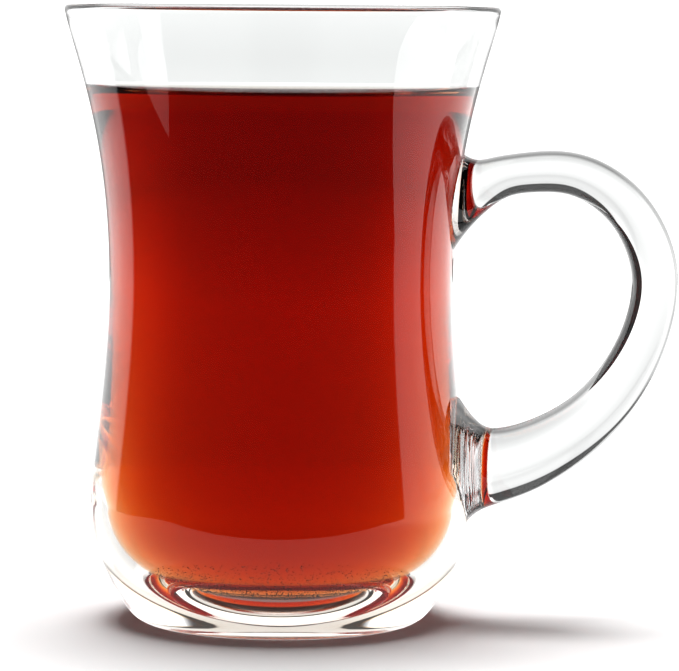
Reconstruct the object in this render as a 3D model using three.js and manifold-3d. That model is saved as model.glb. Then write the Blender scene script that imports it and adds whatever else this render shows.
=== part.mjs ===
// A handled tea glass: a waisted, thick-based pressed glass with a fused loop handle, filled with tea.
// Millimetres, +Z up. The glass stands on z = 0 and its handle points along +X.
import * as THREE from "three";
import { mergeVertices } from "three/addons/utils/BufferGeometryUtils.js";
import Module from "manifold-3d";

// Outside of the body, from foot to rim: radius, height, and the wall's lean from upright in degrees.
const HEIGHT = 88;
const LIP_RADIUS = 0.6;
const FOOT = { r: 20.86, z: 0.6, lean: 55 };
const BELLY = { r: 27.3, z: 16.85, lean: 0 };
const WAIST = { r: 24.6, z: 48.6, lean: 0 };
const RIM = { r: 31.05, z: HEIGHT - LIP_RADIUS, lean: 11 };

// How far each curve follows the wall's lean at its lower and at its upper end.
const FOOT_TO_BELLY = { lower: 2.26, upper: 7.06 };
const BELLY_TO_WAIST = { lower: 3.2, upper: 12.56 };
const WAIST_TO_RIM = { lower: 21.5, upper: 6.4 };

// Inside of the body: a rounded floor, then one long flare up to the lip.
const FLOOR = { r: 0, z: 5, lean: 90 };
const SHOULDER = { r: 19.5, z: 18.4, lean: 5 };
const INNER_RIM = { r: RIM.r - 2 * LIP_RADIUS, z: RIM.z, lean: 16.5 };
const FLOOR_TO_SHOULDER = { lower: 13.5, upper: 7.4 };
const SHOULDER_TO_INNER_RIM = { lower: 22, upper: 30 };

// Underside: a flat bearing ring round a shallow recess.
const BEARING_RADIUS = 19.6;
const RECESS = { edge: 15.5, top: 12.5, depth: 2.6 };

// Tea: its flat level, the line where it climbs the wall, and the room it keeps to the glass.
const TEA_LEVEL = 76;
const TEA_CONTACT = 77.05;
const MENISCUS_WIDTH = 2.2;
const TEA_CLEARANCE = 0.3;

// Handle: its centre line in the XZ plane from the upper to the lower joint, and its section.
const HANDLE_ROUTE = [
  [24, 62.45],
  [33.5, 64.35],
  [42.65, 64.15],
  [50, 58.9],
  [53.6, 49.9],
  [51.6, 39.6],
  [45.2, 29.95],
  [35.5, 23.65],
  [24, 20.85],
];
const HANDLE_THICKNESS = { upper: 5.1, middle: 6.65, lower: 12.6 };
const HANDLE_HALF_WIDTH = { upper: 4.2, middle: 4.3, lower: 5.2 };
const HANDLE_SQUARENESS = 2.8;
// How deep the handle's ends reach into the wall, and how far from it its sections turn upright.
const HANDLE_ROOT = 0.6;
const HANDLE_TURN = 8;

// Fillets where the handle meets the body: added size at the wall, and how far out they start.
const UPPER_FILLETS = {
  outer: { size: 2.2, reach: 3.4 },
  inner: { size: 5.6, reach: 8 },
  side: { size: 1.4, reach: 3.6 },
};
const LOWER_FILLETS = {
  outer: { size: 1.2, reach: 2.6 },
  inner: { size: 3, reach: 4.5 },
  side: { size: 2.2, reach: 4 },
};

// Facets
const ROUND_SEGMENTS = 48;
const HANDLE_SIDES = 20;
const HANDLE_STEPS = 44;

const GLASS = { color: 0xeef2f1, roughness: 0.02, metalness: 0, transparent: true, opacity: 0.35 };
const TEA = { color: 0x8c1607, roughness: 0.05, metalness: 0 };

const wasm = await Module();
wasm.setup();

// The smooth curve between two profile points that leaves each along its own lean.
function wallCurve(lower, upper, pull) {
  const along = (point) => {
    const lean = THREE.MathUtils.degToRad(point.lean);
    return new THREE.Vector2(Math.sin(lean), Math.cos(lean));
  };
  const start = new THREE.Vector2(lower.r, lower.z);
  const end = new THREE.Vector2(upper.r, upper.z);
  return new THREE.CubicBezierCurve(
    start,
    start.clone().addScaledVector(along(lower), pull.lower),
    end.clone().addScaledVector(along(upper), -pull.upper),
    end,
  );
}

const footCurve = wallCurve(FOOT, BELLY, FOOT_TO_BELLY);
const bellyCurve = wallCurve(BELLY, WAIST, BELLY_TO_WAIST);
const flareCurve = wallCurve(WAIST, RIM, WAIST_TO_RIM);
const floorCurve = wallCurve(FLOOR, SHOULDER, FLOOR_TO_SHOULDER);
const innerCurve = wallCurve(SHOULDER, INNER_RIM, SHOULDER_TO_INNER_RIM);

// The place along a rising wall curve where it passes a height, by halving.
function placeAtHeight(curve, height) {
  let low = 0;
  let high = 1;
  for (let i = 0; i < 40; i += 1) {
    const middle = (low + high) / 2;
    if (curve.getPoint(middle).y < height) low = middle;
    else high = middle;
  }
  return (low + high) / 2;
}

// The outside radius of the body at a height above the foot.
function outerRadius(height) {
  const curve = height < BELLY.z ? footCurve : height < WAIST.z ? bellyCurve : flareCurve;
  return curve.getPoint(placeAtHeight(curve, height)).x;
}

// Profile points from several pieces, without the ones that two pieces share.
function joined(...pieces) {
  const points = pieces.flat();
  return points.filter((p, i) => i === 0 || p.distanceTo(points[i - 1]) > 1e-6);
}

// A solid of revolution about Z from a profile of (radius, height) points.
function turned(points) {
  return new THREE.LatheGeometry(points, ROUND_SEGMENTS).rotateX(Math.PI / 2);
}

// Underside of the glass, from the axis out to the start of the foot's curve.
function undersidePoints() {
  const halfSlope = (RECESS.edge - RECESS.top) / 2;
  const recess = new THREE.CubicBezierCurve(
    new THREE.Vector2(RECESS.top, RECESS.depth),
    new THREE.Vector2(RECESS.top + halfSlope, RECESS.depth),
    new THREE.Vector2(RECESS.edge - halfSlope, 0),
    new THREE.Vector2(RECESS.edge, 0),
  );
  const edge = new THREE.QuadraticBezierCurve(
    new THREE.Vector2(BEARING_RADIUS, 0),
    new THREE.Vector2(FOOT.r - FOOT.z * Math.tan(THREE.MathUtils.degToRad(FOOT.lean)), 0),
    new THREE.Vector2(FOOT.r, FOOT.z),
  );
  return joined([new THREE.Vector2(0, RECESS.depth)], recess.getPoints(6), edge.getPoints(3));
}

// Outside of the body from the foot to the rim.
function outsidePoints() {
  return joined(footCurve.getPoints(8), bellyCurve.getPoints(8), flareCurve.getPoints(9));
}

// The body: underside, outside, rounded lip, then down the inside to the floor.
function bodyGeometry() {
  const lip = new THREE.EllipseCurve(RIM.r - LIP_RADIUS, RIM.z, LIP_RADIUS, LIP_RADIUS, 0, Math.PI);
  const inside = joined(floorCurve.getPoints(8), innerCurve.getPoints(10)).reverse();
  return turned(joined(undersidePoints(), outsidePoints(), lip.getPoints(6), inside));
}

// The body's core, a little inside its outer surface, which trims the handle's ends.
function coreGeometry() {
  const wall = outsidePoints().map((p) => new THREE.Vector2(p.x - HANDLE_ROOT, p.y));
  const bottom = new THREE.Vector2(0, FOOT.z);
  const top = new THREE.Vector2(0, RIM.z);
  return turned([bottom, ...wall, top]);
}

// A value that goes from upper through middle to lower along the handle, level in the middle.
function alongHandle(size, place) {
  const offMiddle = 2 * place - 1;
  const end = offMiddle < 0 ? size.upper : size.lower;
  return size.middle + (end - size.middle) * offMiddle ** 2;
}

// The extra size of a hollow fillet at a distance from the wall, still growing inside it.
function filletAt(distance, fillet) {
  return fillet.size * Math.max(0, 1 - distance / fillet.reach) ** 2;
}

// A section with flat-sided, well-rounded faces, two units across.
function handleSection() {
  const rounded = (value) => Math.sign(value) * Math.abs(value) ** (2 / HANDLE_SQUARENESS);
  const points = [];
  for (let i = 0; i < HANDLE_SIDES; i += 1) {
    const angle = (2 * Math.PI * (i + 0.5)) / HANDLE_SIDES;
    points.push(new THREE.Vector2(rounded(Math.cos(angle)), rounded(Math.sin(angle))));
  }
  return new THREE.Shape(points);
}

// The handle: a straight bar bent along its route, with its sections sized and filleted on the way.
// Its sections stand square to the route, and turn upright where they come close to the wall.
function handleGeometry() {
  const route = new THREE.SplineCurve(HANDLE_ROUTE.map(([x, z]) => new THREE.Vector2(x, z)));
  const settings = { depth: 1, steps: HANDLE_STEPS, bevelEnabled: false };
  const bar = new THREE.ExtrudeGeometry(handleSection(), settings);
  const position = bar.getAttribute("position");
  for (let i = 0; i < position.count; i += 1) {
    // Sections stand closer together towards both joints.
    const place = (1 - Math.cos(Math.PI * position.getZ(i))) / 2;
    const centre = route.getPointAt(place);
    const tangent = route.getTangentAt(place);
    const fillets = place < 0.5 ? UPPER_FILLETS : LOWER_FILLETS;
    const wall = outerRadius(centre.y);
    const turn = THREE.MathUtils.smoothstep(centre.x - wall, 0, HANDLE_TURN);
    const outwards = new THREE.Vector2(-tangent.y * turn, tangent.x).normalize();
    const halfWidth = alongHandle(HANDLE_HALF_WIDTH, place) + filletAt(centre.x - wall, fillets.side);
    const y = -position.getY(i) * halfWidth;
    const offWall = Math.hypot(centre.x, y) - wall;
    const face = position.getX(i) > 0 ? fillets.outer : fillets.inner;
    const across = alongHandle(HANDLE_THICKNESS, place) / 2 + filletAt(offWall, face);
    centre.addScaledVector(outwards, position.getX(i) * across);
    position.setXYZ(i, centre.x, y, centre.y);
  }
  return bar;
}

// The tea: up the inside of the glass, with a climbing edge at the wall and a flat top.
function teaGeometry() {
  const inset = (curve, place) => {
    const tangent = curve.getTangent(place);
    const normal = new THREE.Vector2(-tangent.y, tangent.x);
    return curve.getPoint(place).addScaledVector(normal, TEA_CLEARANCE);
  };
  const contact = placeAtHeight(innerCurve, TEA_CONTACT);
  const floorSteps = 8;
  const wallSteps = 9;
  const side = [];
  for (let i = 0; i <= floorSteps; i += 1) side.push(inset(floorCurve, i / floorSteps));
  for (let i = 1; i <= wallSteps; i += 1) side.push(inset(innerCurve, (contact * i) / wallSteps));
  side[0].x = 0;
  const edge = side.at(-1);
  const meniscus = new THREE.QuadraticBezierCurve(
    edge,
    new THREE.Vector2(edge.x - MENISCUS_WIDTH / 4, TEA_LEVEL),
    new THREE.Vector2(edge.x - MENISCUS_WIDTH, TEA_LEVEL),
  );
  return turned(joined(side, meniscus.getPoints(4), [new THREE.Vector2(0, TEA_LEVEL)]));
}

// A closed geometry as a solid that can be joined and cut.
function solidOf(geometry) {
  geometry.deleteAttribute("normal");
  geometry.deleteAttribute("uv");
  const merged = mergeVertices(geometry, 1e-4);
  const vertProperties = merged.getAttribute("position").array;
  const triVerts = new Uint32Array(merged.getIndex().array);
  return new wasm.Manifold(new wasm.Mesh({ numProp: 3, vertProperties, triVerts }));
}

// A solid back as geometry.
function geometryOf(solid) {
  const mesh = solid.getMesh();
  const geometry = new THREE.BufferGeometry();
  geometry.setAttribute("position", new THREE.BufferAttribute(mesh.vertProperties, 3));
  geometry.setIndex(new THREE.BufferAttribute(mesh.triVerts, 1));
  geometry.computeVertexNormals();
  return geometry;
}

function namedMesh(name, geometry, finish) {
  const mesh = new THREE.Mesh(geometry, new THREE.MeshStandardMaterial(finish));
  mesh.name = name;
  return mesh;
}

const handle = solidOf(handleGeometry()).subtract(solidOf(coreGeometry()));
const glass = namedMesh("glass", geometryOf(solidOf(bodyGeometry()).add(handle)), GLASS);
const tea = namedMesh("tea", teaGeometry(), TEA);

// The part's origin is under the middle of the whole, handle included.
const filledGlass = new THREE.Group();
filledGlass.add(glass, tea);
const box = new THREE.Box3().setFromObject(filledGlass);
filledGlass.position.x = -(box.min.x + box.max.x) / 2;

const part = new THREE.Group();
part.add(filledGlass);

export default part;
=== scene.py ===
"""The looks of a filled, handled tea glass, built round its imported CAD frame.

Sizes are in millimetres, as in the part's source, and become metres where meshes are made.
"""

import logging
import math
from dataclasses import dataclass
from enum import Enum
from itertools import pairwise

import bpy
import numpy as np
from mathutils import Matrix, Vector

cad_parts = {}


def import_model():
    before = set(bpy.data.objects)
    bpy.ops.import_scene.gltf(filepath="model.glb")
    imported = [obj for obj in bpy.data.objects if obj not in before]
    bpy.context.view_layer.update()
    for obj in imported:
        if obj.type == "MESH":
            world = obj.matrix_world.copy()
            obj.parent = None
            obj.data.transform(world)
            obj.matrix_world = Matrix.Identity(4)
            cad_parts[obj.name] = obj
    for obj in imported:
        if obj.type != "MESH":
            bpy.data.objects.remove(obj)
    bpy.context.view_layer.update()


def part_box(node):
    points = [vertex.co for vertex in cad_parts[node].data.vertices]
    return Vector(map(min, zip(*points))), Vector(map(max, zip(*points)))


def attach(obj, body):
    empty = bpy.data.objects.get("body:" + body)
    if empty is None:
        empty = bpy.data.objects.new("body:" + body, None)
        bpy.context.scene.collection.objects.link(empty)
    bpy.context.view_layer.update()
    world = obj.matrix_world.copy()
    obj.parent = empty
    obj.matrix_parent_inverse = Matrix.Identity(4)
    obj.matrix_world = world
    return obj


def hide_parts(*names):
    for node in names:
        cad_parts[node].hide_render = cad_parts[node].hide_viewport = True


LOG = logging.getLogger("tea_glass")
MM = 0.001
BODY = "root"

GLASS_IOR = 1.5
TEA_IOR = 1.333
NO_BEND_IOR = 1.0

# Points closer than this are one, in a profile's mm and in a mesh's metres.
SAME_POINT = 1e-6
# How often a curve is halved to find a height on it.
HALVINGS = 40
# Least length that is divided by, straight overhead.
LEAST_LENGTH = 0.001

Colour = tuple[float, float, float]
# Two ends, such as where a step starts and where it is done.
Span = tuple[float, float]


class Node(Enum):
    """The CAD nodes that pieces stand for."""

    GLASS = "glass"
    TEA = "tea"


class Slot(Enum):
    """Names of the pieces' material slots."""

    GLASS = "clear_glass"
    TEA = "tea"


class Cut(Enum):
    """How one solid is joined to or cut by another."""

    UNION = "UNION"
    DIFFERENCE = "DIFFERENCE"


class GlassFace(Enum):
    """The kinds of face on the glass, by their place among its materials."""

    DRY = 0
    WET = 1
    # Faces with painted shade at their edges: the handle and its fillets.
    DRAWN = 2


class SkinFace(Enum):
    """The kinds of face on the tea's skin, by their place among its materials."""

    TOP = 0
    UNDER = 1


@dataclass(frozen=True)
class WallPoint:
    """A point on a wall's profile.

    Args:
        r: radius in mm.
        z: height in mm.
        lean: the wall's lean from upright there, in degrees.
    """

    r: float
    z: float
    lean: float

    def along(self) -> Vector:
        """The wall's rising direction at this point, as (radius, height)."""
        return Vector((math.sin(math.radians(self.lean)), math.cos(math.radians(self.lean))))


@dataclass(frozen=True)
class WallCurve:
    """A smooth rising curve between two wall points that leaves each along its lean.

    Args:
        lower: the lower end.
        upper: the upper end.
        pull_lower: how far the curve is pulled along the lower end's lean, in mm.
        pull_upper: how far it is pulled along the upper end's lean.
    """

    lower: WallPoint
    upper: WallPoint
    pull_lower: float
    pull_upper: float

    def point(self, place: float) -> Vector:
        """A point on the curve.

        Args:
            place: from 0, the lower end, to 1, the upper one.

        Returns:
            The point's (radius, height).
        """
        a = Vector((self.lower.r, self.lower.z))
        d = Vector((self.upper.r, self.upper.z))
        b = a + self.lower.along() * self.pull_lower
        c = d - self.upper.along() * self.pull_upper
        rest = 1 - place
        return a * rest**3 + b * (3 * rest**2 * place) + c * (3 * rest * place**2) + d * place**3

    def points(self, count: int, start: float = 0.0, end: float = 1.0) -> list[Vector]:
        """Points spread evenly in place.

        Args:
            count: how many steps the curve is cut into.
            start: place of the first point.
            end: place of the last point.

        Returns:
            count + 1 points of (radius, height).
        """
        return [self.point(start + (end - start) * i / count) for i in range(count + 1)]

    def place_at(self, height: float) -> float:
        """The place where the curve passes a height, found by halving.

        Args:
            height: in mm.

        Returns:
            The place, from 0 to 1.
        """
        low, high = 0.0, 1.0
        for _ in range(HALVINGS):
            middle = (low + high) / 2
            low, high = (middle, high) if self.point(middle).y < height else (low, middle)
        return (low + high) / 2

    def offset(self, place: float, distance: float) -> Vector:
        """A point beside the curve.

        Args:
            place: from 0, the lower end, to 1, the upper one.
            distance: how far to the outside, square to the curve, in mm.

        Returns:
            The point's (radius, height).
        """
        step = 1e-4
        tangent = (self.point(min(1, place + step)) - self.point(max(0, place - step))).normalized()
        return self.point(place) + Vector((tangent.y, -tangent.x)) * distance


def pulled(corners: list[Vector], count: int) -> list[Vector]:
    """Points on the curve from the first corner to the last that the others pull, a Bezier curve.

    Args:
        corners: (radius, height) points in mm.
        count: how many steps the curve is cut into.

    Returns:
        count + 1 points.
    """
    order = len(corners) - 1
    points = []
    for i in range(count + 1):
        t = i / count
        weights = [math.comb(order, k) * (1 - t) ** (order - k) * t**k for k in range(order + 1)]
        points.append(sum((c * w for c, w in zip(corners, weights)), Vector((0, 0))))
    return points


def joined(*pieces: list[Vector]) -> list[Vector]:
    """Profile points from several pieces, without those that two pieces share."""
    points = [p for piece in pieces for p in piece]
    return [p for i, p in enumerate(points) if i == 0 or (p - points[i - 1]).length > SAME_POINT]


def select_only(*things: bpy.types.Object) -> None:
    """Selects these objects and nothing else, and makes the last one active.

    Args:
        things: the objects, or none to deselect all.
    """
    bpy.ops.object.select_all(action="DESELECT")
    for thing in things:
        thing.select_set(True)
        bpy.context.view_layer.objects.active = thing


def turned(name: str, profile: list[Vector], axis_x: float, steps: int) -> bpy.types.Object:
    """Draws a profile as a wire and spins it about an upright axis into a closed solid.

    Args:
        name: the new object's name.
        profile: (radius, height) points in mm, in order, the ends on the axis or meeting.
        axis_x: where the axis stands along X, in mm.
        steps: how many steps the turn is cut into.

    Returns:
        The new mesh object, at the origin.
    """
    places = [Vector((axis_x + p.x, 0, p.y)) * MM for p in profile]
    select_only()
    bpy.ops.mesh.primitive_plane_add(size=MM)
    solid = bpy.context.active_object
    solid.name = name
    bpy.ops.object.mode_set(mode="EDIT")
    bpy.ops.mesh.select_all(action="SELECT")
    bpy.ops.mesh.merge(type="CENTER")
    bpy.ops.transform.translate(value=places[0])
    for here, there in pairwise(places):
        bpy.ops.mesh.extrude_region_move(TRANSFORM_OT_translate={"value": there - here})
    bpy.ops.mesh.select_all(action="SELECT")
    bpy.ops.mesh.spin(steps=steps, angle=math.tau, center=(axis_x * MM, 0, 0), axis=(0, 0, 1))
    bpy.ops.mesh.select_all(action="SELECT")
    bpy.ops.mesh.remove_doubles(threshold=SAME_POINT)
    bpy.ops.mesh.normals_make_consistent(inside=False)
    bpy.ops.object.mode_set(mode="OBJECT")
    return solid


def combine(solid: bpy.types.Object, tool: bpy.types.Object, cut: Cut) -> None:
    """Joins a tool to a solid or cuts it away, and removes the tool.

    Args:
        solid: the object that is changed.
        tool: the object that is joined to it or cut away.
        cut: which of the two.
    """
    select_only(solid)
    bpy.ops.object.modifier_add(type="BOOLEAN")
    modifier = solid.modifiers[-1]
    modifier.operation = cut.value
    modifier.solver = "EXACT"
    modifier.object = tool
    bpy.ops.object.modifier_apply(modifier=modifier.name)
    bpy.data.objects.remove(tool)


def smooth(piece: bpy.types.Object, angle: float) -> None:
    """Shades a piece smooth, apart from edges sharper than an angle in degrees."""
    select_only(piece)
    bpy.ops.object.shade_smooth_by_angle(angle=math.radians(angle))


# The mix node's sockets share their names, so they are told apart by their places.
MIX_FACTOR = 0
MIX_NUMBERS = (2, 3)
MIX_NUMBER_OUT = 0
MIX_COLOURS = (6, 7)
MIX_COLOUR_OUT = 2


class Graph:
    """A material's or world's node tree, with short ways to add and link nodes."""

    def __init__(self, tree: bpy.types.NodeTree) -> None:
        """Starts from an empty tree."""
        self.tree = tree
        tree.nodes.clear()

    def add(self, kind: str, **inputs: object) -> bpy.types.Node:
        """Adds a node.

        Args:
            kind: the node's type name.
            inputs: values or sockets for its inputs, by name, with _ for a space.

        Returns:
            The new node.
        """
        node = self.tree.nodes.new(kind)
        for name, value in inputs.items():
            self.feed(node.inputs[name.replace("_", " ")], value)
        return node

    def feed(self, socket: bpy.types.NodeSocket, value: object) -> None:
        """Sets an input to a value, or links it to an output socket.

        Args:
            socket: the input.
            value: the value or the output socket.
        """
        if isinstance(value, bpy.types.NodeSocket):
            self.tree.links.new(value, socket)
        else:
            socket.default_value = value

    def math(self, operation: str, *values: object) -> bpy.types.NodeSocket:
        """Adds a math node.

        Args:
            operation: what the node does.
            values: values or sockets for its inputs, in order.

        Returns:
            The output socket.
        """
        node = self.tree.nodes.new("ShaderNodeMath")
        node.operation = operation
        for socket, value in zip(node.inputs, values):
            self.feed(socket, value)
        return node.outputs[0]

    def times(self, first: object, *others: object) -> bpy.types.NodeSocket:
        """The product of several values.

        Args:
            first: the first value or socket.
            others: the rest.

        Returns:
            The output socket.
        """
        product = first
        for other in others:
            product = self.math("MULTIPLY", product, other)
        return product

    def length(self, x: object, y: object) -> bpy.types.NodeSocket:
        """The length of a flat vector."""
        return self.math("SQRT", self.math("ADD", self.times(x, x), self.times(y, y)))

    def mix(self, factor: object, at_zero: object, at_one: object) -> bpy.types.NodeSocket:
        """A number between two others.

        Args:
            factor: how far it is from the first to the second, from 0 to 1.
            at_zero: the first number.
            at_one: the second number.

        Returns:
            The output socket.
        """
        node = self.tree.nodes.new("ShaderNodeMix")
        self.feed(node.inputs[MIX_FACTOR], factor)
        for place, value in zip(MIX_NUMBERS, (at_zero, at_one)):
            self.feed(node.inputs[place], value)
        return node.outputs[MIX_NUMBER_OUT]

    def mix_colours(self, factor: object, at_zero: Colour, at_one: Colour) -> bpy.types.NodeSocket:
        """A colour between two others.

        Args:
            factor: how far it is from the first to the second, from 0 to 1.
            at_zero: the first colour.
            at_one: the second colour.

        Returns:
            The output socket.
        """
        node = self.tree.nodes.new("ShaderNodeMix")
        node.data_type = "RGBA"
        self.feed(node.inputs[MIX_FACTOR], factor)
        for place, colour in zip(MIX_COLOURS, (at_zero, at_one)):
            self.feed(node.inputs[place], (*colour, 1.0))
        return node.outputs[MIX_COLOUR_OUT]

    def ramp(self, value: object, step: Span, at_low: object, at_high: object) -> bpy.types.NodeSocket:
        """A smooth step between two values.

        Args:
            value: what is mapped.
            step: where the step starts and ends.
            at_low: the result below the step.
            at_high: the result above it.

        Returns:
            The output socket.
        """
        node = self.tree.nodes.new("ShaderNodeMapRange")
        node.interpolation_type = "SMOOTHSTEP"
        for socket, given in zip(node.inputs, (value, *step, at_low, at_high)):
            self.feed(socket, given)
        return node.outputs[0]


def new_material(name: str) -> tuple[bpy.types.Material, Graph]:
    """A new material with an empty node tree.

    Args:
        name: the material's name.

    Returns:
        The material and its node tree.
    """
    material = bpy.data.materials.new(name)
    material.use_nodes = True
    return material, Graph(material.node_tree)


@dataclass(frozen=True)
class ClearFinish:
    """A clear, polished surface that bends light.

    Args:
        name: the material's name.
        ior: how much light bends on the way in.
        tint: colour that a pass through the surface keeps.
        ripple: height of the surface's slow waviness, in mm; 0 for none.
        ripple_size: how many waves fit in a metre.
        rim_shade: painted shade, how much the tint is darkened where the surface turns away, from 0 to 1.
        rim_step: how far it has turned away where that painted shade starts and where it is full.
        density: absorption of what it holds, for each metre; 0 for none.
        body_colour: colour that the absorption spares.
    """

    name: str
    ior: float
    tint: Colour = (1.0, 1.0, 1.0)
    ripple: float = 0.0
    ripple_size: float = 90.0
    rim_shade: float = 0.0
    rim_step: Span = (0.3, 0.6)
    density: float = 0.0
    body_colour: Colour = (1.0, 1.0, 1.0)

    def material(self) -> bpy.types.Material:
        """Makes the material.

        Returns:
            A new material.
        """
        material, graph = new_material(self.name)
        surface = graph.add(
            "ShaderNodeBsdfPrincipled",
            Base_Color=(*self.tint, 1.0),
            Roughness=0.0,
            IOR=self.ior,
            Transmission_Weight=1.0,
        )
        output = graph.add("ShaderNodeOutputMaterial", Surface=surface.outputs[0])
        # Painted shade: the tint darkens where the surface turns away, for dark edges.
        if self.rim_shade > 0:
            graph.feed(surface.inputs["Base Color"], self.shaded_tint(graph))
        if self.ripple > 0:
            graph.feed(surface.inputs["Normal"], self.rippled_normal(graph))
        if self.density > 0:
            spared = (*self.body_colour, 1.0)
            volume = graph.add("ShaderNodeVolumeAbsorption", Color=spared, Density=self.density)
            graph.feed(output.inputs["Volume"], volume.outputs[0])
        return material

    def shaded_tint(self, graph: Graph) -> bpy.types.NodeSocket:
        """The tint with painted shade, darker where the surface turns away.

        Args:
            graph: the material's node tree.

        Returns:
            The colour socket.
        """
        turning = graph.add("ShaderNodeLayerWeight", Blend=0.5).outputs["Facing"]
        kept = graph.ramp(turning, self.rim_step, 1.0, 1.0 - self.rim_shade)
        red, green, blue = (graph.times(kept, part) for part in self.tint)
        return graph.add("ShaderNodeCombineColor", Red=red, Green=green, Blue=blue).outputs[0]

    def rippled_normal(self, graph: Graph) -> bpy.types.NodeSocket:
        """The surface's normal with its slow waviness.

        Args:
            graph: the material's node tree.

        Returns:
            The normal socket.
        """
        place = graph.add("ShaderNodeTexCoord").outputs["Object"]
        waves = graph.add("ShaderNodeTexNoise", Vector=place, Scale=self.ripple_size, Detail=1.0)
        height = self.ripple * MM
        bump = graph.add("ShaderNodeBump", Height=waves.outputs[0], Distance=height, Strength=1.0)
        return bump.outputs[0]


@dataclass(frozen=True)
class SpeckFinish:
    """Dark, wet tea dust with uneven colour.

    Args:
        name: the material's name.
        dark: the darkest colour.
        light: the lightest colour.
        spots: how many spots of colour fit in a metre.
    """

    name: str = "tea_dust"
    dark: Colour = (0.012, 0.004, 0.002)
    light: Colour = (0.06, 0.018, 0.006)
    spots: float = 1500.0

    def material(self) -> bpy.types.Material:
        """Makes the material.

        Returns:
            A new material.
        """
        material, graph = new_material(self.name)
        place = graph.add("ShaderNodeTexCoord").outputs["Object"]
        noise = graph.add("ShaderNodeTexNoise", Vector=place, Scale=self.spots, Detail=2.0)
        colour = graph.mix_colours(noise.outputs[0], self.dark, self.light)
        surface = graph.add("ShaderNodeBsdfPrincipled", Base_Color=colour, Roughness=0.6)
        graph.add("ShaderNodeOutputMaterial", Surface=surface.outputs[0])
        return material


@dataclass(frozen=True)
class MatteFinish:
    """A plain matt stage surface of one shade of grey."""

    name: str
    shade: float

    def material(self) -> bpy.types.Material:
        """Makes the material.

        Returns:
            A new material.
        """
        material, graph = new_material(self.name)
        colour = (self.shade, self.shade, self.shade, 1.0)
        surface = graph.add("ShaderNodeBsdfDiffuse", Color=colour)
        graph.add("ShaderNodeOutputMaterial", Surface=surface.outputs[0])
        return material


@dataclass(frozen=True)
class GlowFinish:
    """A stage surface that glows evenly."""

    name: str
    strength: float

    def material(self) -> bpy.types.Material:
        """Makes the material.

        Returns:
            A new material.
        """
        material, graph = new_material(self.name)
        surface = graph.add("ShaderNodeEmission", Strength=self.strength)
        graph.add("ShaderNodeOutputMaterial", Surface=surface.outputs[0])
        return material


@dataclass(frozen=True)
class PaintedTableGlow:
    """Painted light for the mirrored white table: a glow, brighter to the right and straight behind the
    glass.

    Args:
        name: the material's name.
        axis_x: where the glass's axis stands along X, in mm.
        glow: brightness to the left and to the right.
        glow_step: X in mm where the one starts to become the other, and where it has.
        back_gain: how many times brighter the table is straight behind the glass.
        back_step: cosine of the angle from straight behind where that starts, and where it is full.
    """

    name: str
    axis_x: float
    glow: Span = (0.9, 1.45)
    glow_step: Span = (60.0, 140.0)
    back_gain: float = 1.1
    back_step: Span = (0.75, 0.9)

    def material(self) -> bpy.types.Material:
        """Makes the material.

        Returns:
            A new material.
        """
        material, graph = new_material(self.name)
        place = graph.add("ShaderNodeNewGeometry").outputs["Position"]
        x, y, _ = graph.add("ShaderNodeSeparateXYZ", Vector=place).outputs
        start, end = self.glow_step
        across = graph.ramp(x, (start * MM, end * MM), *self.glow)
        far = graph.length(graph.math("SUBTRACT", x, self.axis_x * MM), y)
        behind = graph.ramp(graph.math("DIVIDE", y, far), self.back_step, 1.0, self.back_gain)
        # Painted light: the table glows instead of being lit, brighter to the right and straight behind the
        # glass.
        surface = graph.add("ShaderNodeEmission", Strength=graph.times(across, behind))
        graph.add("ShaderNodeOutputMaterial", Surface=surface.outputs[0])
        return material


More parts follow.
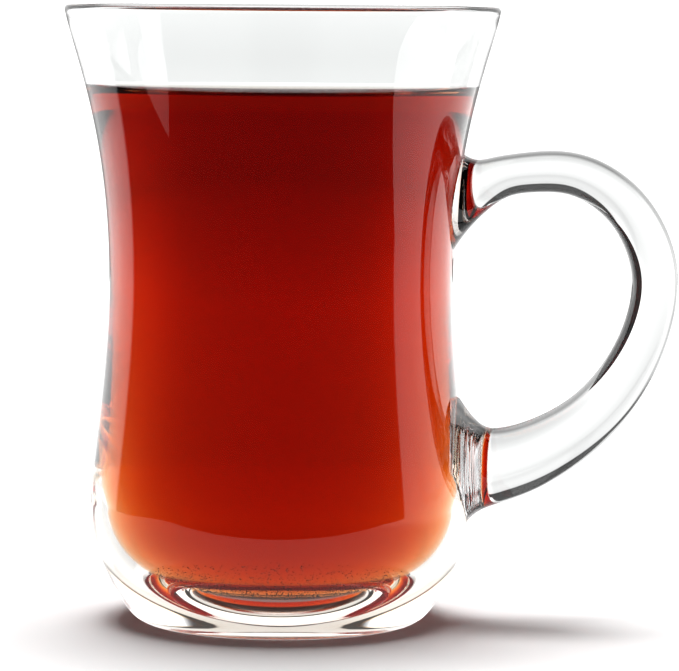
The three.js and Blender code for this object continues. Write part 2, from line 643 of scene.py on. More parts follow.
@dataclass
class Body:
    """The waisted, thick-based body of the glass.

    Args:
        axis_x: where the body's axis stands along X, in mm.
        lip_radius: radius of the rounded lip.
        foot, belly, waist, rim: the outside, from the foot's rounded edge to under the lip.
        foot_pulls, belly_pulls, flare_pulls: pulls of the outside's three curves at their ends.
        floor, shoulder, inner_rim: the inside, from the floor's middle to under the lip.
        floor_pulls, inner_pulls: pulls of the inside's two curves at their ends.
        bearing_radius: outer radius of the flat ring that the glass stands on.
        recess_edge: inner radius of that ring, where the recess under the foot starts.
        recess_top: radius of the recess's flat top.
        recess_depth: height of the recess.
        steps: how many steps the turn is cut into.
        top_cuts, recess_cuts, ring_cuts, edge_cuts: steps of the underside's profile.
        foot_cuts, belly_cuts, flare_cuts, lip_cuts: steps of the outside's profile.
        floor_cuts, wet_cuts, dry_cuts: steps of the inside's profile.
    """

    axis_x: float
    lip_radius: float = 0.6
    foot: WallPoint = WallPoint(20.86, 0.6, 55)
    belly: WallPoint = WallPoint(27.3, 16.85, 0)
    waist: WallPoint = WallPoint(24.6, 48.6, 0)
    rim: WallPoint = WallPoint(31.05, 87.4, 11)
    foot_pulls: Span = (2.26, 7.06)
    belly_pulls: Span = (3.2, 12.56)
    flare_pulls: Span = (21.5, 6.4)
    floor: WallPoint = WallPoint(0, 5, 90)
    shoulder: WallPoint = WallPoint(19.5, 18.4, 5)
    inner_rim: WallPoint = WallPoint(29.85, 87.4, 16.5)
    floor_pulls: Span = (13.5, 7.4)
    inner_pulls: Span = (22, 30)
    bearing_radius: float = 19.6
    recess_edge: float = 15.5
    recess_top: float = 12.5
    recess_depth: float = 2.6
    steps: int = 180
    top_cuts: int = 6
    recess_cuts: int = 20
    ring_cuts: int = 4
    edge_cuts: int = 8
    foot_cuts: int = 28
    belly_cuts: int = 30
    flare_cuts: int = 36
    lip_cuts: int = 12
    floor_cuts: int = 36
    wet_cuts: int = 44
    dry_cuts: int = 12

    def __post_init__(self) -> None:
        """Draws the curves of the outside and the inside."""
        self.foot_curve = WallCurve(self.foot, self.belly, *self.foot_pulls)
        self.belly_curve = WallCurve(self.belly, self.waist, *self.belly_pulls)
        self.flare_curve = WallCurve(self.waist, self.rim, *self.flare_pulls)
        self.floor_curve = WallCurve(self.floor, self.shoulder, *self.floor_pulls)
        self.inner_curve = WallCurve(self.shoulder, self.inner_rim, *self.inner_pulls)

    def outer_radius(self, height: float) -> float:
        """The outside radius at a height.

        Args:
            height: in mm, from the foot's rounded edge up.

        Returns:
            The radius in mm.
        """
        if height < self.belly.z:
            curve = self.foot_curve
        else:
            curve = self.belly_curve if height < self.waist.z else self.flare_curve
        return curve.point(curve.place_at(height)).x

    def inner_radius(self, height: float) -> float:
        """The inside radius at a height above the floor, in mm."""
        curve = self.floor_curve if height < self.shoulder.z else self.inner_curve
        return curve.point(curve.place_at(height)).x

    def underside(self) -> list[Vector]:
        """The recess, the bearing ring and the rounded edge of the foot.

        Returns:
            Profile points in mm, from the middle outwards.
        """
        half = (self.recess_edge - self.recess_top) / 2
        recess = [
            Vector((self.recess_top, self.recess_depth)),
            Vector((self.recess_top + half, self.recess_depth)),
            Vector((self.recess_edge - half, 0)),
            Vector((self.recess_edge, 0)),
        ]
        edge = [
            Vector((self.bearing_radius, 0)),
            Vector((self.foot.r - self.foot.z * math.tan(math.radians(self.foot.lean)), 0)),
            Vector((self.foot.r, self.foot.z)),
        ]
        width = self.bearing_radius - self.recess_edge
        top = [Vector((self.recess_top * i / self.top_cuts, self.recess_depth)) for i in range(self.top_cuts)]
        ring = [Vector((self.recess_edge + width * i / self.ring_cuts, 0)) for i in range(1, self.ring_cuts)]
        return joined(top, pulled(recess, self.recess_cuts), ring, pulled(edge, self.edge_cuts))

    def outside(self) -> list[Vector]:
        """The outside from the foot to the rim.

        Returns:
            Profile points in mm, upwards.
        """
        return joined(
            self.foot_curve.points(self.foot_cuts),
            self.belly_curve.points(self.belly_cuts),
            self.flare_curve.points(self.flare_cuts),
        )

    def lip(self) -> list[Vector]:
        """The rounded lip, from the outside over to the inside.

        Returns:
            Profile points in mm.
        """
        middle = Vector((self.rim.r - self.lip_radius, self.rim.z))
        angles = [math.pi * i / self.lip_cuts for i in range(self.lip_cuts + 1)]
        return [middle + Vector((math.cos(a), math.sin(a))) * self.lip_radius for a in angles]

    def inside(self, contact: float) -> list[Vector]:
        """The inside from the lip down to the floor.

        Args:
            contact: height in mm of the tea's edge, where an edge loop is kept.

        Returns:
            Profile points in mm.
        """
        wet = self.inner_curve.place_at(contact)
        rising = joined(
            self.floor_curve.points(self.floor_cuts),
            self.inner_curve.points(self.wet_cuts, 0, wet),
            self.inner_curve.points(self.dry_cuts, wet, 1),
        )
        return rising[::-1]

    def build(self, contact: float) -> bpy.types.Object:
        """Turns the body.

        Args:
            contact: height in mm of the tea's edge.

        Returns:
            The body as one closed solid.
        """
        profile = joined(self.underside(), self.outside(), self.lip(), self.inside(contact))
        return turned("glass_body", profile, self.axis_x, self.steps)

    def core(self, depth: float) -> bpy.types.Object:
        """A solid that lies a little inside the outside, to trim the handle's ends.

        Args:
            depth: how far inside, in mm.

        Returns:
            The core as one closed solid.
        """
        wall = [Vector((p.x - depth, p.y)) for p in self.outside()]
        profile = [Vector((0, self.foot.z)), *wall, Vector((0, self.rim.z))]
        return turned("core", profile, self.axis_x, self.steps)


@dataclass(frozen=True)
class Fillet:
    """A hollow fillet at the wall: its added size there and how far out it starts, in mm."""

    size: float
    reach: float

    def at(self, distance: float) -> float:
        """The extra size at a distance from the wall, still growing inside it."""
        return self.size * max(0.0, 1 - distance / self.reach) ** 2


@dataclass(frozen=True)
class Root:
    """The fillets round one of the handle's two joints."""

    outer: Fillet
    inner: Fillet
    side: Fillet


@dataclass(frozen=True)
class Section:
    """One section of the handle: its middle, its turn about Y in radians and its half sizes in mm."""

    middle: Vector
    turn: float
    half_thickness: float
    half_width: float


@dataclass
class Handle:
    """The fused loop handle, a flat-sided bar that thickens downwards and flares at the wall.

    Args:
        body: the body that it is fused to.
        route: (x, z) points in mm from the glass's axis, from the upper joint to the lower one.
        thickness: in mm at the upper joint, halfway and at the lower joint.
        half_width: half the size across the handle, at the same three places.
        upper: the fillets of the upper joint.
        lower: the fillets of the lower joint.
        turn_reach: how far from the wall the bar starts to turn square to it, in mm.
        root_depth: how far the ends reach into the wall, in mm.
        corner_cut: share of a half side that the cage's corners lose.
        stations: how many steps the bar is cut into.
        span_cuts: how many steps each span of the route is cut into to measure it.
        slope_step: how far to either side the route's slope is read, in mm.
        rounding: how often the cage is subdivided.
    """

    body: Body
    route: tuple[Span, ...] = (
        (24, 62.45),
        (33.5, 64.35),
        (42.65, 64.15),
        (50, 58.9),
        (53.6, 49.9),
        (51.6, 39.6),
        (45.2, 29.95),
        (35.5, 23.65),
        (24, 20.85),
    )
    thickness: tuple[float, float, float] = (5.1, 6.65, 12.6)
    half_width: tuple[float, float, float] = (4.2, 4.3, 5.2)
    upper: Root = Root(Fillet(2.2, 3.4), Fillet(5.6, 8), Fillet(1.4, 3.6))
    lower: Root = Root(Fillet(1.2, 2.6), Fillet(3, 4.5), Fillet(2.2, 4))
    turn_reach: float = 8
    root_depth: float = 0.6
    corner_cut: float = 0.42
    stations: int = 40
    span_cuts: int = 40
    slope_step: float = 0.05
    rounding: int = 3

    def spline(self) -> list[Vector]:
        """The route as a dense Catmull-Rom line.

        Returns:
            (x, z) points in mm from the glass's axis.
        """
        points = [Vector(p) for p in self.route]
        dense = []
        for i, (here, there) in enumerate(pairwise(points)):
            before, after = points[max(0, i - 1)], points[min(len(points) - 1, i + 2)]
            leaving, arriving = (there - before) * 0.5, (after - here) * 0.5
            for step in range(self.span_cuts):
                t = step / self.span_cuts
                dense.append(
                    here * (2 * t**3 - 3 * t**2 + 1)
                    + leaving * (t**3 - 2 * t**2 + t)
                    + there * (3 * t**2 - 2 * t**3)
                    + arriving * (t**3 - t**2)
                )
        return [*dense, points[-1]]

    def along(self, sizes: tuple[float, float, float], place: float) -> float:
        """A size along the handle.

        Args:
            sizes: at the upper joint, halfway and at the lower joint.
            place: from 0 at the upper joint to 1 at the lower one.

        Returns:
            The size there.
        """
        off = 2 * place - 1
        end = sizes[0] if off < 0 else sizes[2]
        return sizes[1] + (end - sizes[1]) * off**2

    def sections(self) -> list[Section]:
        """The sections along the route, closer together towards both joints.

        Returns:
            The sections from the upper joint to the lower one.
        """
        line = self.spline()
        lengths = np.concatenate(([0.0], np.cumsum([(b - a).length for a, b in pairwise(line)])))
        coords = np.array([p.x for p in line]), np.array([p.y for p in line])
        result = []
        for i in range(self.stations + 1):
            place = (1 - math.cos(math.pi * i / self.stations)) / 2
            here = place * lengths[-1]
            x, z = (float(np.interp(here, lengths, c)) for c in coords)
            around = here - self.slope_step, here + self.slope_step
            slope = [float(np.diff(np.interp(around, lengths, c))[0]) for c in coords]
            result.append(self.section(place, x, z, slope))
        return result

    def section(self, place: float, x: float, z: float, slope: list[float]) -> Section:
        """One section, turned square to the wall and widened by the fillets near a joint.

        Args:
            place: from 0 at the upper joint to 1 at the lower one.
            x: how far out the route is there, in mm from the glass's axis.
            z: the route's height there.
            slope: how far the route goes out and up over a short step there.

        Returns:
            The section.
        """
        off_wall = x - self.body.outer_radius(z)
        near = min(1.0, max(0.0, off_wall / self.turn_reach))
        upright = near * near * (3 - 2 * near)
        tangent = Vector((slope[0], slope[1] * upright)).normalized()
        root = self.upper if place < 0.5 else self.lower
        half = self.along(self.thickness, place) / 2
        outer = half + root.outer.at(off_wall)
        inner = half + root.inner.at(off_wall)
        middle = Vector((x, z)) + Vector((-tangent.y, tangent.x)) * (outer - inner) / 2
        width = self.along(self.half_width, place) + root.side.at(off_wall)
        return Section(middle, math.atan2(tangent.y, tangent.x), (outer + inner) / 2, width)

    def fullness(self) -> float:
        """How much larger than the section its cage is, as rounding draws a flat side's middle in.

        There the rounded line takes 23/48 from each of the side's two corners, and 1/48 from each of
        the next two, which lie further in.

        Returns:
            The cage's size over the section's.
        """
        return 48 / (2 * 23 + 2 * (1 - self.corner_cut))

    def build(self) -> bpy.types.Object:
        """Extrudes a cut-cornered plate along the route and rounds it.

        Returns:
            The handle as one closed solid, its ends trimmed to the wall.
        """
        select_only()
        bpy.ops.mesh.primitive_plane_add(size=2, rotation=(0, math.pi / 2, 0))
        bar = bpy.context.active_object
        bar.name = "handle"
        bpy.ops.object.transform_apply(location=False, rotation=True, scale=False)
        bpy.ops.object.mode_set(mode="EDIT")
        bpy.ops.mesh.select_all(action="SELECT")
        bpy.ops.mesh.bevel(offset=self.corner_cut, segments=1, affect="VERTICES")
        before = Section(Vector((0, 0)), 0.0, 1 / MM, 1 / MM)
        for i, section in enumerate(self.sections()):
            self.extrude_to(before, section, first=i == 0)
            before = section
        bpy.ops.mesh.select_all(action="SELECT")
        bpy.ops.mesh.normals_make_consistent(inside=False)
        bpy.ops.object.mode_set(mode="OBJECT")
        bpy.ops.object.modifier_add(type="SUBSURF")
        bar.modifiers[-1].levels = self.rounding
        bpy.ops.object.modifier_apply(modifier=bar.modifiers[-1].name)
        combine(bar, self.body.core(self.root_depth), Cut.DIFFERENCE)
        return bar

    def extrude_to(self, before: Section, section: Section, first: bool) -> None:
        """Extrudes the selected face from one section to the next.

        Args:
            before: the section that the face has now.
            section: the section that it gets.
            first: the face is moved there without a new ring.
        """
        if not first:
            bpy.ops.mesh.extrude_region_move(TRANSFORM_OT_translate={"value": (0, 0, 0)})
        old = self.place(before.middle) if not first else Vector()
        new = self.place(section.middle)
        grow = self.fullness() if first else 1.0
        ratio = (
            1.0,
            grow * section.half_width / before.half_width,
            grow * section.half_thickness / before.half_thickness,
        )
        if before.turn:
            bpy.ops.transform.rotate(value=-before.turn, orient_axis="Y", center_override=old)
        bpy.ops.transform.resize(value=ratio, center_override=old)
        bpy.ops.transform.translate(value=new - old)
        if section.turn:
            bpy.ops.transform.rotate(value=section.turn, orient_axis="Y", center_override=new)

    def place(self, middle: Vector) -> Vector:
        """A section's middle in the row frame, in metres."""
        return Vector((self.body.axis_x + middle.x, 0, middle.y)) * MM


@dataclass
class Tea:
    """The tea, with an edge that climbs the wall. It reaches just into the glass.

    Args:
        body: the glass's body.
        level: height of the tea's top, in mm.
        contact: height of its edge at the wall.
        meniscus_width: how far from the wall the top starts to climb.
        knee_share: share of that width, from the wall, where the climb is pulled from.
        into_wall: how far the tea reaches into the wall.
        skin: thickness of the skin that bends light at the top.
        skin_gap: room between the skin and the tea under it.
        edge_gap: room between the side's last ring and the top's edge.
        meniscus_cuts: steps of the climbing edge's profile.
        level_cuts: steps of the level top's profile.
        upward: how far up a face of the skin has to look to be on top.
        density: absorption, for each metre.
        colour: colour that the absorption spares.
        ripple: height of the top's slow waviness, in mm.
        sharp: edges sharper than this angle, in degrees, stay sharp.
    """

    body: Body
    level: float = 76.0
    contact: float = 77.05
    meniscus_width: float = 2.2
    knee_share: float = 0.25
    into_wall: float = 0.06
    skin: float = 0.12
    skin_gap: float = 0.04
    edge_gap: float = 0.05
    meniscus_cuts: int = 16
    level_cuts: int = 8
    upward: float = 0.05
    density: float = 230.0
    colour: Colour = (0.878, 0.49, 0.0)
    ripple: float = 0.002
    sharp: float = 40.0

    def side(self) -> list[Vector]:
        """The tea's side, which reaches just into the glass.

        Returns:
            Profile points in mm, from the floor's middle to the tea's edge.
        """
        body = self.body
        wet = body.inner_curve.place_at(self.contact)
        floor_places = [i / body.floor_cuts for i in range(body.floor_cuts + 1)]
        wall_places = [wet * i / body.wet_cuts for i in range(1, body.wet_cuts + 1)]
        low = [body.floor_curve.offset(place, self.into_wall) for place in floor_places]
        high = [body.inner_curve.offset(place, self.into_wall) for place in wall_places]
        low[0].x = 0
        return [*low, *high]

    def top(self, drop: float) -> list[Vector]:
        """The tea's top, or a copy of it that lies lower.

        Args:
            drop: how much lower, in mm.

        Returns:
            Profile points in mm, from the wall to the middle.
        """
        edge = Vector((self.body.inner_radius(self.contact) + self.into_wall, self.contact))
        knee = Vector((edge.x - self.meniscus_width * self.knee_share, self.level))
        flat = Vector((edge.x - self.meniscus_width, self.level))
        shares = [1 - i / self.level_cuts for i in range(1, self.level_cuts + 1)]
        inward = [Vector((flat.x * share, self.level)) for share in shares]
        return [p - Vector((0, drop)) for p in joined(pulled([edge, knee, flat], self.meniscus_cuts), inward)]

    def build(self) -> bpy.types.Object:
        """Turns the tea, and lays its skin on it as a thin lens of its own.

        Returns:
            The tea as one piece.
        """
        lowered = self.top(self.skin + self.skin_gap)
        side = [p for p in self.side() if p.y < lowered[0].y - self.edge_gap]
        tea = turned("tea_fill", [*side, *lowered], self.body.axis_x, self.body.steps)
        fill = ClearFinish("tea_fill", NO_BEND_IOR, density=self.density, body_colour=self.colour)
        tea.data.materials.append(fill.material())
        select_only(self.lay_skin(), tea)
        bpy.ops.object.join()
        smooth(tea, self.sharp)
        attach(tea, BODY)
        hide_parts(Node.TEA.value)
        return tea

    def lay_skin(self) -> bpy.types.Object:
        """Turns the skin, which bends light on its way into the tea and no more on its way out below.

        Returns:
            The skin as one closed solid.
        """
        profile = [*self.top(0)[::-1], *self.top(self.skin)]
        skin = turned("tea_skin", profile, self.body.axis_x, self.body.steps)
        skin.data.materials.append(ClearFinish("tea_surface", TEA_IOR, ripple=self.ripple).material())
        skin.data.materials.append(ClearFinish("tea_under_surface", NO_BEND_IOR).material())
        for face in skin.data.polygons:
            kind = SkinFace.TOP if face.normal.z > self.upward else SkinFace.UNDER
            face.material_index = kind.value
        return skin


GRAIN_TIPS = ((1, 0, 0), (-1, 0, 0), (0, 1, 0), (0, -1, 0), (0, 0, 1), (0, 0, -1))
GRAIN_FACES = ((0, 2, 4), (2, 1, 4), (1, 3, 4), (3, 0, 4), (2, 0, 5), (1, 2, 5), (3, 1, 5), (0, 3, 5))


@dataclass
class TeaDust:
    """Fine dark dust that has settled on the tea's floor.

    Args:
        body: the glass's body.
        count: how many grains there are.
        reach: how far from the middle they lie, in mm.
        lift: how far above the floor their middles lie, from and to.
        size: radius of a grain, from and to.
        unevenness: how far a grain's tips depart from that radius, from and to.
        floor_cuts: how many steps the floor's curve is read at.
        seed: start of the random draws.
    """

    body: Body
    count: int = 2200
    reach: float = 13.5
    lift: Span = (0.1, 0.3)
    size: Span = (0.03, 0.09)
    unevenness: Span = (0.6, 1.4)
    floor_cuts: int = 60
    seed: int = 7

    def middles(self, rng: np.random.Generator) -> np.ndarray:
        """Where the specks lie, just above the floor.

        Args:
            rng: source of the random draws.

        Returns:
            Their middles in mm from the glass's axis, one to a row.
        """
        radius = self.reach * np.sqrt(rng.uniform(0.0, 1.0, self.count))
        angle = rng.uniform(0.0, math.tau, self.count)
        lift = rng.uniform(*self.lift, self.count)
        profile = np.array(self.body.floor_curve.points(self.floor_cuts))
        floor = np.interp(radius, profile[:, 0], profile[:, 1])
        return np.stack([radius * np.cos(angle), radius * np.sin(angle), floor + lift], axis=1)

    def build(self) -> bpy.types.Object:
        """Makes all the specks as one mesh of small, uneven eight-faced grains.

        Returns:
            The dust as one piece.
        """
        rng = np.random.default_rng(self.seed)
        middles = self.middles(rng) + np.array([self.body.axis_x, 0.0, 0.0])
        tips, faces = np.array(GRAIN_TIPS, dtype=float), np.array(GRAIN_FACES)
        sizes = rng.uniform(*self.size, (self.count, 1, 1))
        sizes = sizes * rng.uniform(*self.unevenness, (self.count, len(tips), 1))
        points = (middles[:, None, :] + tips[None] * sizes).reshape(-1, 3) * MM
        corners = (faces[None] + len(tips) * np.arange(self.count)[:, None, None]).reshape(-1, 3)
        mesh = bpy.data.meshes.new("tea_dust")
        mesh.from_pydata(points.tolist(), [], corners.tolist())
        mesh.materials.append(SpeckFinish().material())
        dust = bpy.data.objects.new("tea_dust", mesh)
        bpy.context.scene.collection.objects.link(dust)
        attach(dust, BODY)
        return dust


@dataclass
class TeaGlass:
    """The glass: body and handle as one piece, with dry, wetted and edge-shaded faces told apart.

    Args:
        body: the glass's body.
        handle: its handle.
        contact: height of the tea's edge at the wall, in mm.
        tint: colour that a pass through the glass keeps.
        ripple: height of the glass's slow waviness, in mm.
        rim_shade: painted shade, how much the handle's tint darkens where it turns away, from 0 to 1.
        handle_clear: room between the handle's upper end and the rim, in mm.
        fillet_rise: how far a fillet's face stands off the wall, at least.
        wet_slack: how far off the inside's curve a wetted face may lie.
        floor_skim: height above the floor's middle where its radius is first read.
        sharp: edges sharper than this angle, in degrees, stay sharp.
    """

    body: Body
    handle: Handle
    contact: float
    tint: Colour = (0.985, 0.993, 0.99)
    ripple: float = 0.004
    rim_shade: float = 0.85
    handle_clear: float = 16.0
    fillet_rise: float = 0.25
    wet_slack: float = 0.1
    floor_skim: float = 0.001
    sharp: float = 35.0

    def build(self) -> bpy.types.Object:
        """Joins the handle to the body and dresses the glass.

        Returns:
            The glass as one piece.
        """
        glass = self.body.build(self.contact)
        combine(glass, self.handle.build(), Cut.UNION)
        glass.name = "tea_glass"
        glass.data.materials.clear()
        for finish in self.finishes():
            glass.data.materials.append(finish.material())
        for face in glass.data.polygons:
            face.material_index = self.kind(face.center / MM).value
        smooth(glass, self.sharp)
        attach(glass, BODY)
        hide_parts(Node.GLASS.value)
        return glass

    def finishes(self) -> list[ClearFinish]:
        """The finishes of the kinds of face.

        Returns:
            Those of dry, wetted and edge-shaded faces, in that order.
        """
        dry = ClearFinish("clear_glass", GLASS_IOR, self.tint, self.ripple)
        wet = ClearFinish("clear_glass_wet", GLASS_IOR / TEA_IOR)
        # Painted shade: the handle and its fillets darken where they turn away, for dark outlines.
        edge_shaded = ClearFinish("clear_glass_edge_shaded", GLASS_IOR, self.tint, self.ripple, rim_shade=self.rim_shade)
        return [dry, wet, edge_shaded]

    def kind(self, place: Vector) -> GlassFace:
        """The kind of a face.

        Args:
            place: the face's middle in mm.

        Returns:
            Its kind.
        """
        if self.wetted(place):
            return GlassFace.WET
        return GlassFace.DRAWN if self.edge_shaded(place) else GlassFace.DRY

    def edge_shaded(self, place: Vector) -> bool:
        """Whether a face is on the handle or the fillets at its ends, which get painted shade at their edges.

        Args:
            place: the face's middle in mm.

        Returns:
            True if it is.
        """
        lowest, highest = self.body.belly.z / 2, self.body.rim.z - self.handle_clear
        if not lowest < place.z < highest:
            return False
        radius = math.hypot(place.x - self.body.axis_x, place.y)
        return radius > self.body.outer_radius(place.z) + self.fillet_rise

    def wetted(self, place: Vector) -> bool:
        """Whether a face is inside the glass and under the tea.

        Args:
            place: the face's middle in mm.

        Returns:
            True if it is.
        """
        floor = self.body.floor.z
        if not floor - self.wet_slack < place.z < self.contact:
            return False
        radius = math.hypot(place.x - self.body.axis_x, place.y)
        return radius < self.body.inner_radius(max(place.z, floor + self.floor_skim)) + self.wet_slack


def show_only_in_glass(thing: bpy.types.Object, mirrored: bool) -> None:
    """Hides a stage thing except in the glass.

    Args:
        thing: the stage thing.
        mirrored: it shows as a reflection in the glass; otherwise it is seen through it.
    """
    thing.visible_camera = False
    thing.visible_diffuse = False
    thing.visible_shadow = False
    thing.visible_glossy = mirrored
    thing.visible_transmission = not mirrored


@dataclass(frozen=True)
class Card:
    """An upright card behind the glass, dark or glowing, that only shows through it.

    Args:
        name: the card's name.
        start: where one end stands, in mm from the glass's axis.
        end: where the other end stands.
        low: height of its lower edge, in mm.
        high: height of its upper edge.
        glow: its brightness.
    """

    name: str
    start: Span
    end: Span
    low: float
    high: float
    glow: float

    def stand(self, axis_x: float) -> None:
        """Stands the card up.

        Args:
            axis_x: where the glass's axis stands along X, in mm.
        """
        start, end = Vector(self.start), Vector(self.end)
        middle, reach = (start + end) / 2, end - start
        select_only()
        bpy.ops.mesh.primitive_plane_add(
            size=1.0,
            location=Vector((axis_x + middle.x, middle.y, (self.low + self.high) / 2)) * MM,
            rotation=(math.pi / 2, 0, math.atan2(reach.y, reach.x)),
        )
        card = bpy.context.active_object
        card.name = self.name
        card.scale = (reach.length * MM, (self.high - self.low) * MM, 1.0)
        card.data.materials.append(GlowFinish(self.name, self.glow).material())
        show_only_in_glass(card, mirrored=False)


@dataclass(frozen=True)
class Direction:
    """Sockets that tell a direction from the glass.

    Args:
        back: cosine of the angle from straight behind, on the level.
        side: sine of that angle, positive to the right.
        rise: sine of the elevation.
    """

    back: bpy.types.NodeSocket
    side: bpy.types.NodeSocket
    rise: bpy.types.NodeSocket


@dataclass
class Surround:
    """The world's light, which differs for what is lit, mirrored in the glass and seen through it.

    A glow is a brightness. A step says where, in a direction's back, side or rise, one brightness
    starts to become the next, and where it has.

    Args:
        ambient: glow that lights matt things.
        seen: glow that the camera sees.
        front_glow: glow mirrored from the front.
        right_glow, right_step: glow mirrored from the right, and where it starts in back.
        left_glow, left_step: the same for the left.
        top_share, top_step: share of these that is left high up, and where in rise that starts.
        back_glow, back_step: glow mirrored from behind, and where it starts in back.
        edge_glow, edge_step: glow below the horizon there, beside and straight behind.
        horizon_step: where in rise the one below the horizon becomes the one above it.
        behind: glow seen through the glass, by elevation in degrees. Its dark band a little above
            the horizon draws the dark lines in the glass.
        beside_gain, beside_step: how many times brighter it is to the sides, and where in side.
        front_share, front_step: share of it that is left in front, and where in back.
        overhead_glow: glow of the dark patch high up behind.
        overhead_low, overhead_high: where in rise that patch starts and ends.
        overhead_back: where in back it starts.
    """

    ambient: float = 0.14
    seen: float = 1.0
    front_glow: float = 0.08
    right_glow: float = 1.45
    right_step: Span = (-0.17, -0.14)
    left_glow: float = 1.3
    left_step: Span = (0.40, 0.46)
    top_share: float = 0.1
    top_step: Span = (0.5, 0.7)
    back_glow: float = 0.75
    back_step: Span = (0.75, 0.9)
    edge_glow: Span = (1.1, 0.35)
    edge_step: Span = (0.9, 0.99)
    horizon_step: Span = (-0.04, 0.02)
    behind: tuple[Span, ...] = (
        (-90, 0.62),
        (-46, 0.55),
        (-27, 0.6),
        (-20, 0.68),
        (-14, 0.8),
        (-9, 0.86),
        (-4, 0.75),
        (0, 0.68),
        (1.5, 0.6),
        (3, 0.61),
        (5, 0.65),
        (8, 0.66),
        (12.5, 0.6),
        (14, 0.03),
        (18, 0.03),
        (20, 1.0),
        (90, 1.0),
    )
    beside_gain: float = 1.3
    beside_step: Span = (0.2, 0.5)
    front_share: float = 0.85
    front_step: Span = (-0.25, -0.05)
    overhead_glow: float = 0.06
    overhead_low: Span = (0.24, 0.26)
    overhead_high: Span = (0.59, 0.67)
    overhead_back: Span = (0.87, 0.92)

    def build(self) -> None:
        """Makes the world."""
        world = bpy.data.worlds.new("surround")
        bpy.context.scene.world = world
        world.use_nodes = True
        graph = Graph(world.node_tree)
        way = self.direction(graph)
        path = graph.add("ShaderNodeLightPath").outputs
        strength = graph.mix(path["Is Camera Ray"], self.ambient, self.seen)
        strength = graph.mix(path["Is Glossy Ray"], strength, self.mirrored(graph, way))
        strength = graph.mix(path["Is Transmission Ray"], strength, self.seen_through(graph, way))
        surround = graph.add("ShaderNodeBackground", Strength=strength, Color=(1.0, 1.0, 1.0, 1.0))
        graph.add("ShaderNodeOutputWorld", Surface=surround.outputs[0])

    def direction(self, graph: Graph) -> Direction:
        """The direction that is looked up in the world.

        Args:
            graph: the world's node tree.

        Returns:
            The direction's sockets.
        """
        ray = graph.add("ShaderNodeTexCoord").outputs["Generated"]
        x, y, z = graph.add("ShaderNodeSeparateXYZ", Vector=ray).outputs
        level = graph.math("MAXIMUM", graph.length(x, y), LEAST_LENGTH)
        return Direction(graph.math("DIVIDE", y, level), graph.math("DIVIDE", x, level), z)

    def mirrored(self, graph: Graph, way: Direction) -> bpy.types.NodeSocket:
        """The glow in reflections: dark in front, white to the right and the back left.

        Args:
            graph: the world's node tree.
            way: the direction.

        Returns:
            The glow's socket.
        """
        right = graph.ramp(way.back, self.right_step, self.front_glow, self.right_glow)
        left = graph.ramp(way.back, self.left_step, self.front_glow, self.left_glow)
        sides = graph.mix(graph.math("GREATER_THAN", way.side, 0.0), left, right)
        around = graph.times(sides, graph.ramp(way.rise, self.top_step, 1.0, self.top_share))
        low = graph.ramp(way.back, self.edge_step, *self.edge_glow)
        straight = graph.ramp(way.rise, self.horizon_step, low, self.back_glow)
        return graph.mix(graph.ramp(way.back, self.back_step, 0.0, 1.0), around, straight)

    def seen_through(self, graph: Graph, way: Direction) -> bpy.types.NodeSocket:
        """The glow through the glass: by elevation, brighter beside, with dark bands higher up.

        Args:
            graph: the world's node tree.
            way: the direction.

        Returns:
            The glow's socket.
        """
        ramp = graph.add("ShaderNodeValToRGB", Fac=graph.math("MULTIPLY_ADD", way.rise, 0.5, 0.5))
        stops = ramp.color_ramp.elements
        for i, (elevation, glow) in enumerate(self.behind):
            place = math.sin(math.radians(elevation)) / 2 + 0.5
            stop = stops[i] if i < 2 else stops.new(place)
            stop.position = place
            stop.color = (glow, glow, glow, 1.0)
        beside = graph.ramp(graph.math("ABSOLUTE", way.side), self.beside_step, 1.0, self.beside_gain)
        front = graph.ramp(way.back, self.front_step, self.front_share, 1.0)
        overhead = graph.times(
            graph.ramp(way.rise, self.overhead_low, 0.0, 1.0),
            graph.ramp(way.rise, self.overhead_high, 1.0, 0.0),
            graph.ramp(way.back, self.overhead_back, 0.0, 1.0),
        )
        return graph.mix(overhead, graph.times(ramp.outputs[0], beside, front), self.overhead_glow)


@dataclass
class Viewpoint:
    """The camera, which looks at the glass slightly from above its rim.

    Args:
        axis_x: where the glass's axis stands along X, in mm.
        distance: how far in front of the axis the camera stands, in mm.
        height: its height.
        side: how far to the right of the axis it stands.
        aim_height: height on the axis that it looks at.
        roll: its roll in degrees.
        lens: focal length in mm.
        sensor: width of the sensor in mm.
        clip: the nearest and the furthest that it sees, in mm.
    """

    axis_x: float
    distance: float = 553.0
    height: float = 92.0
    side: float = 8.4
    aim_height: float = 40.9
    roll: float = 0.45
    lens: float = 205.2
    sensor: float = 36.0
    clip: Span = (10.0, 100_000.0)

    def place(self) -> None:
        """Makes the camera and stands it in its place."""
        data = bpy.data.cameras.new("camera")
        data.lens = self.lens
        data.sensor_width = self.sensor
        data.sensor_fit = "HORIZONTAL"
        data.clip_start, data.clip_end = (mm * MM for mm in self.clip)
        camera = bpy.data.objects.new("camera", data)
        bpy.context.scene.collection.objects.link(camera)
        pitch = math.atan2(self.height - self.aim_height, self.distance)
        turn = Matrix.Rotation(math.pi / 2 - pitch, 4, "X") @ Matrix.Rotation(math.radians(self.roll), 4, "Z")
        spot = Vector((self.axis_x + self.side, -self.distance, self.height)) * MM
        camera.matrix_world = Matrix.Translation(spot) @ turn
        bpy.context.scene.camera = camera


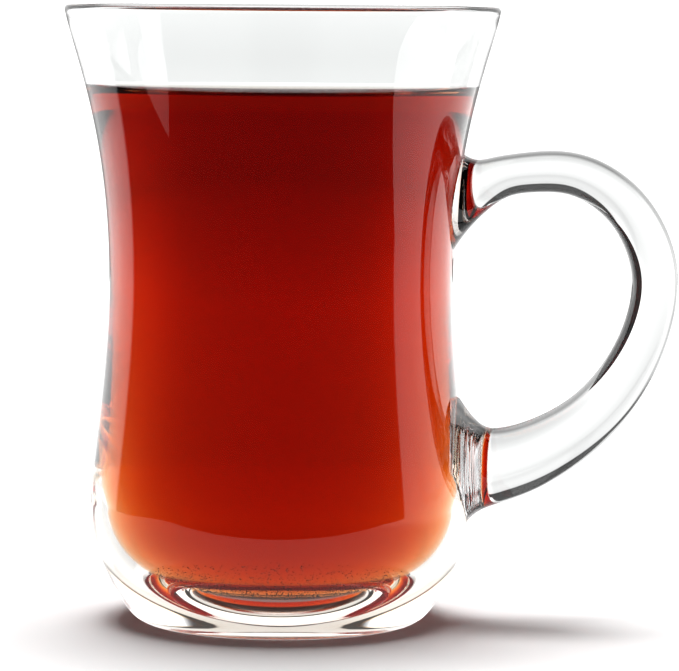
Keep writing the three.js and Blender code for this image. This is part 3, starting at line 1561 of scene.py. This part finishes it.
@dataclass
class Studio:
    """A pale floor, soft light from above, and stage things that only show in the glass.

    Args:
        axis_x: where the glass's axis stands along X, in mm.
        floor_drop: how far the floor lies under the foot, in mm.
        floor_size: side of the floor.
        floor_shade: its grey.
        shade_radius, shade_glow: size and brightness of the painted shadow, a dim glowing disc seen through
            the foot.
        table_left, table_front: the mirrored table's near left corner, from the glass's axis.
        table_reach: side of that table.
        sun_tilt: how far the overhead light leans to the back, in degrees.
        sun_angle: how broad it is, in degrees.
        sun_strength: its strength.
        cards: upright cards that show through the glass.
        bounces: how often light may bounce, through glass too.
        glossy_bounces: how often it may be mirrored.
    """

    axis_x: float
    floor_drop: float = 0.05
    floor_size: float = 60_000.0
    floor_shade: float = 0.9
    shade_radius: float = 21.0
    shade_glow: float = 0.2
    table_left: float = -205.0
    table_front: float = -72.0
    table_reach: float = 680.0
    sun_tilt: float = 12.0
    sun_angle: float = 42.0
    sun_strength: float = 2.9
    cards: tuple[Card, ...] = (
        Card("dark_right", (74.0, 52.0), (104.0, 30.0), 0.0, 300.0, 0.02),
    )
    bounces: int = 32
    glossy_bounces: int = 16

    def build(self) -> None:
        """Sets the stage, the lights and the camera."""
        self.lay_floor()
        self.lay_shade()
        self.lay_table()
        for card in self.cards:
            card.stand(self.axis_x)
        self.light()
        Surround().build()
        Viewpoint(self.axis_x).place()
        scene = bpy.context.scene
        scene.view_settings.view_transform = "Standard"
        scene.view_settings.look = "High Contrast"
        scene.cycles.max_bounces = self.bounces
        scene.cycles.transmission_bounces = self.bounces
        scene.cycles.glossy_bounces = self.glossy_bounces

    def lay_floor(self) -> None:
        """Lays the floor that the glass stands on."""
        select_only()
        bpy.ops.mesh.primitive_plane_add(size=self.floor_size * MM, location=(0, 0, -self.floor_drop * MM))
        floor = bpy.context.active_object
        floor.name = "floor"
        floor.data.materials.append(MatteFinish("floor", self.floor_shade).material())
        floor.visible_glossy = False
        floor.visible_transmission = False

    def lay_shade(self) -> None:
        """Lays a painted shadow, a dim glowing disc under the foot that only shows through the glass."""
        select_only()
        bpy.ops.mesh.primitive_circle_add(
            vertices=64,
            radius=self.shade_radius * MM,
            fill_type="NGON",
            location=Vector((self.axis_x, 0, -self.floor_drop / 2)) * MM,
        )
        shade = bpy.context.active_object
        shade.name = "shade"
        # Painted shadow: the disc glows dimly in place of the glass's shadow on the floor.
        shade.data.materials.append(GlowFinish("shade", self.shade_glow).material())
        show_only_in_glass(shade, mirrored=False)

    def lay_table(self) -> None:
        """Lays the white table that only shows in reflections, a sheet that glows with painted light."""
        half = self.table_reach / 2
        middle = Vector((self.axis_x + self.table_left + half, self.table_front + half, -self.floor_drop))
        select_only()
        bpy.ops.mesh.primitive_plane_add(size=self.table_reach * MM, location=middle * MM)
        table = bpy.context.active_object
        table.name = "table"
        table.data.materials.append(PaintedTableGlow("table", self.axis_x).material())
        show_only_in_glass(table, mirrored=True)

    def light(self) -> None:
        """Hangs a broad soft light overhead, a little to the back."""
        bpy.ops.object.light_add(type="SUN", rotation=(-math.radians(self.sun_tilt), 0, 0))
        sun = bpy.context.active_object
        sun.name = "overhead"
        sun.data.energy = self.sun_strength
        sun.data.angle = math.radians(self.sun_angle)
        sun.visible_glossy = False
        sun.visible_transmission = False


def main() -> None:
    """Builds the glass, the tea and the stage."""
    logging.basicConfig(level=logging.INFO, format="%(message)s")
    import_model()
    low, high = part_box(Node.TEA.value)
    axis_x = (low.x + high.x) / 2 / MM
    body = Body(axis_x)
    tea = Tea(body)
    TeaGlass(body, Handle(body), tea.contact).build()
    LOG.info("glass built")
    tea.build()
    LOG.info("tea built")
    TeaDust(body).build()
    LOG.info("tea dust built")
    Studio(axis_x).build()
    LOG.info("stage set")


if __name__ == "__main__":
    main()
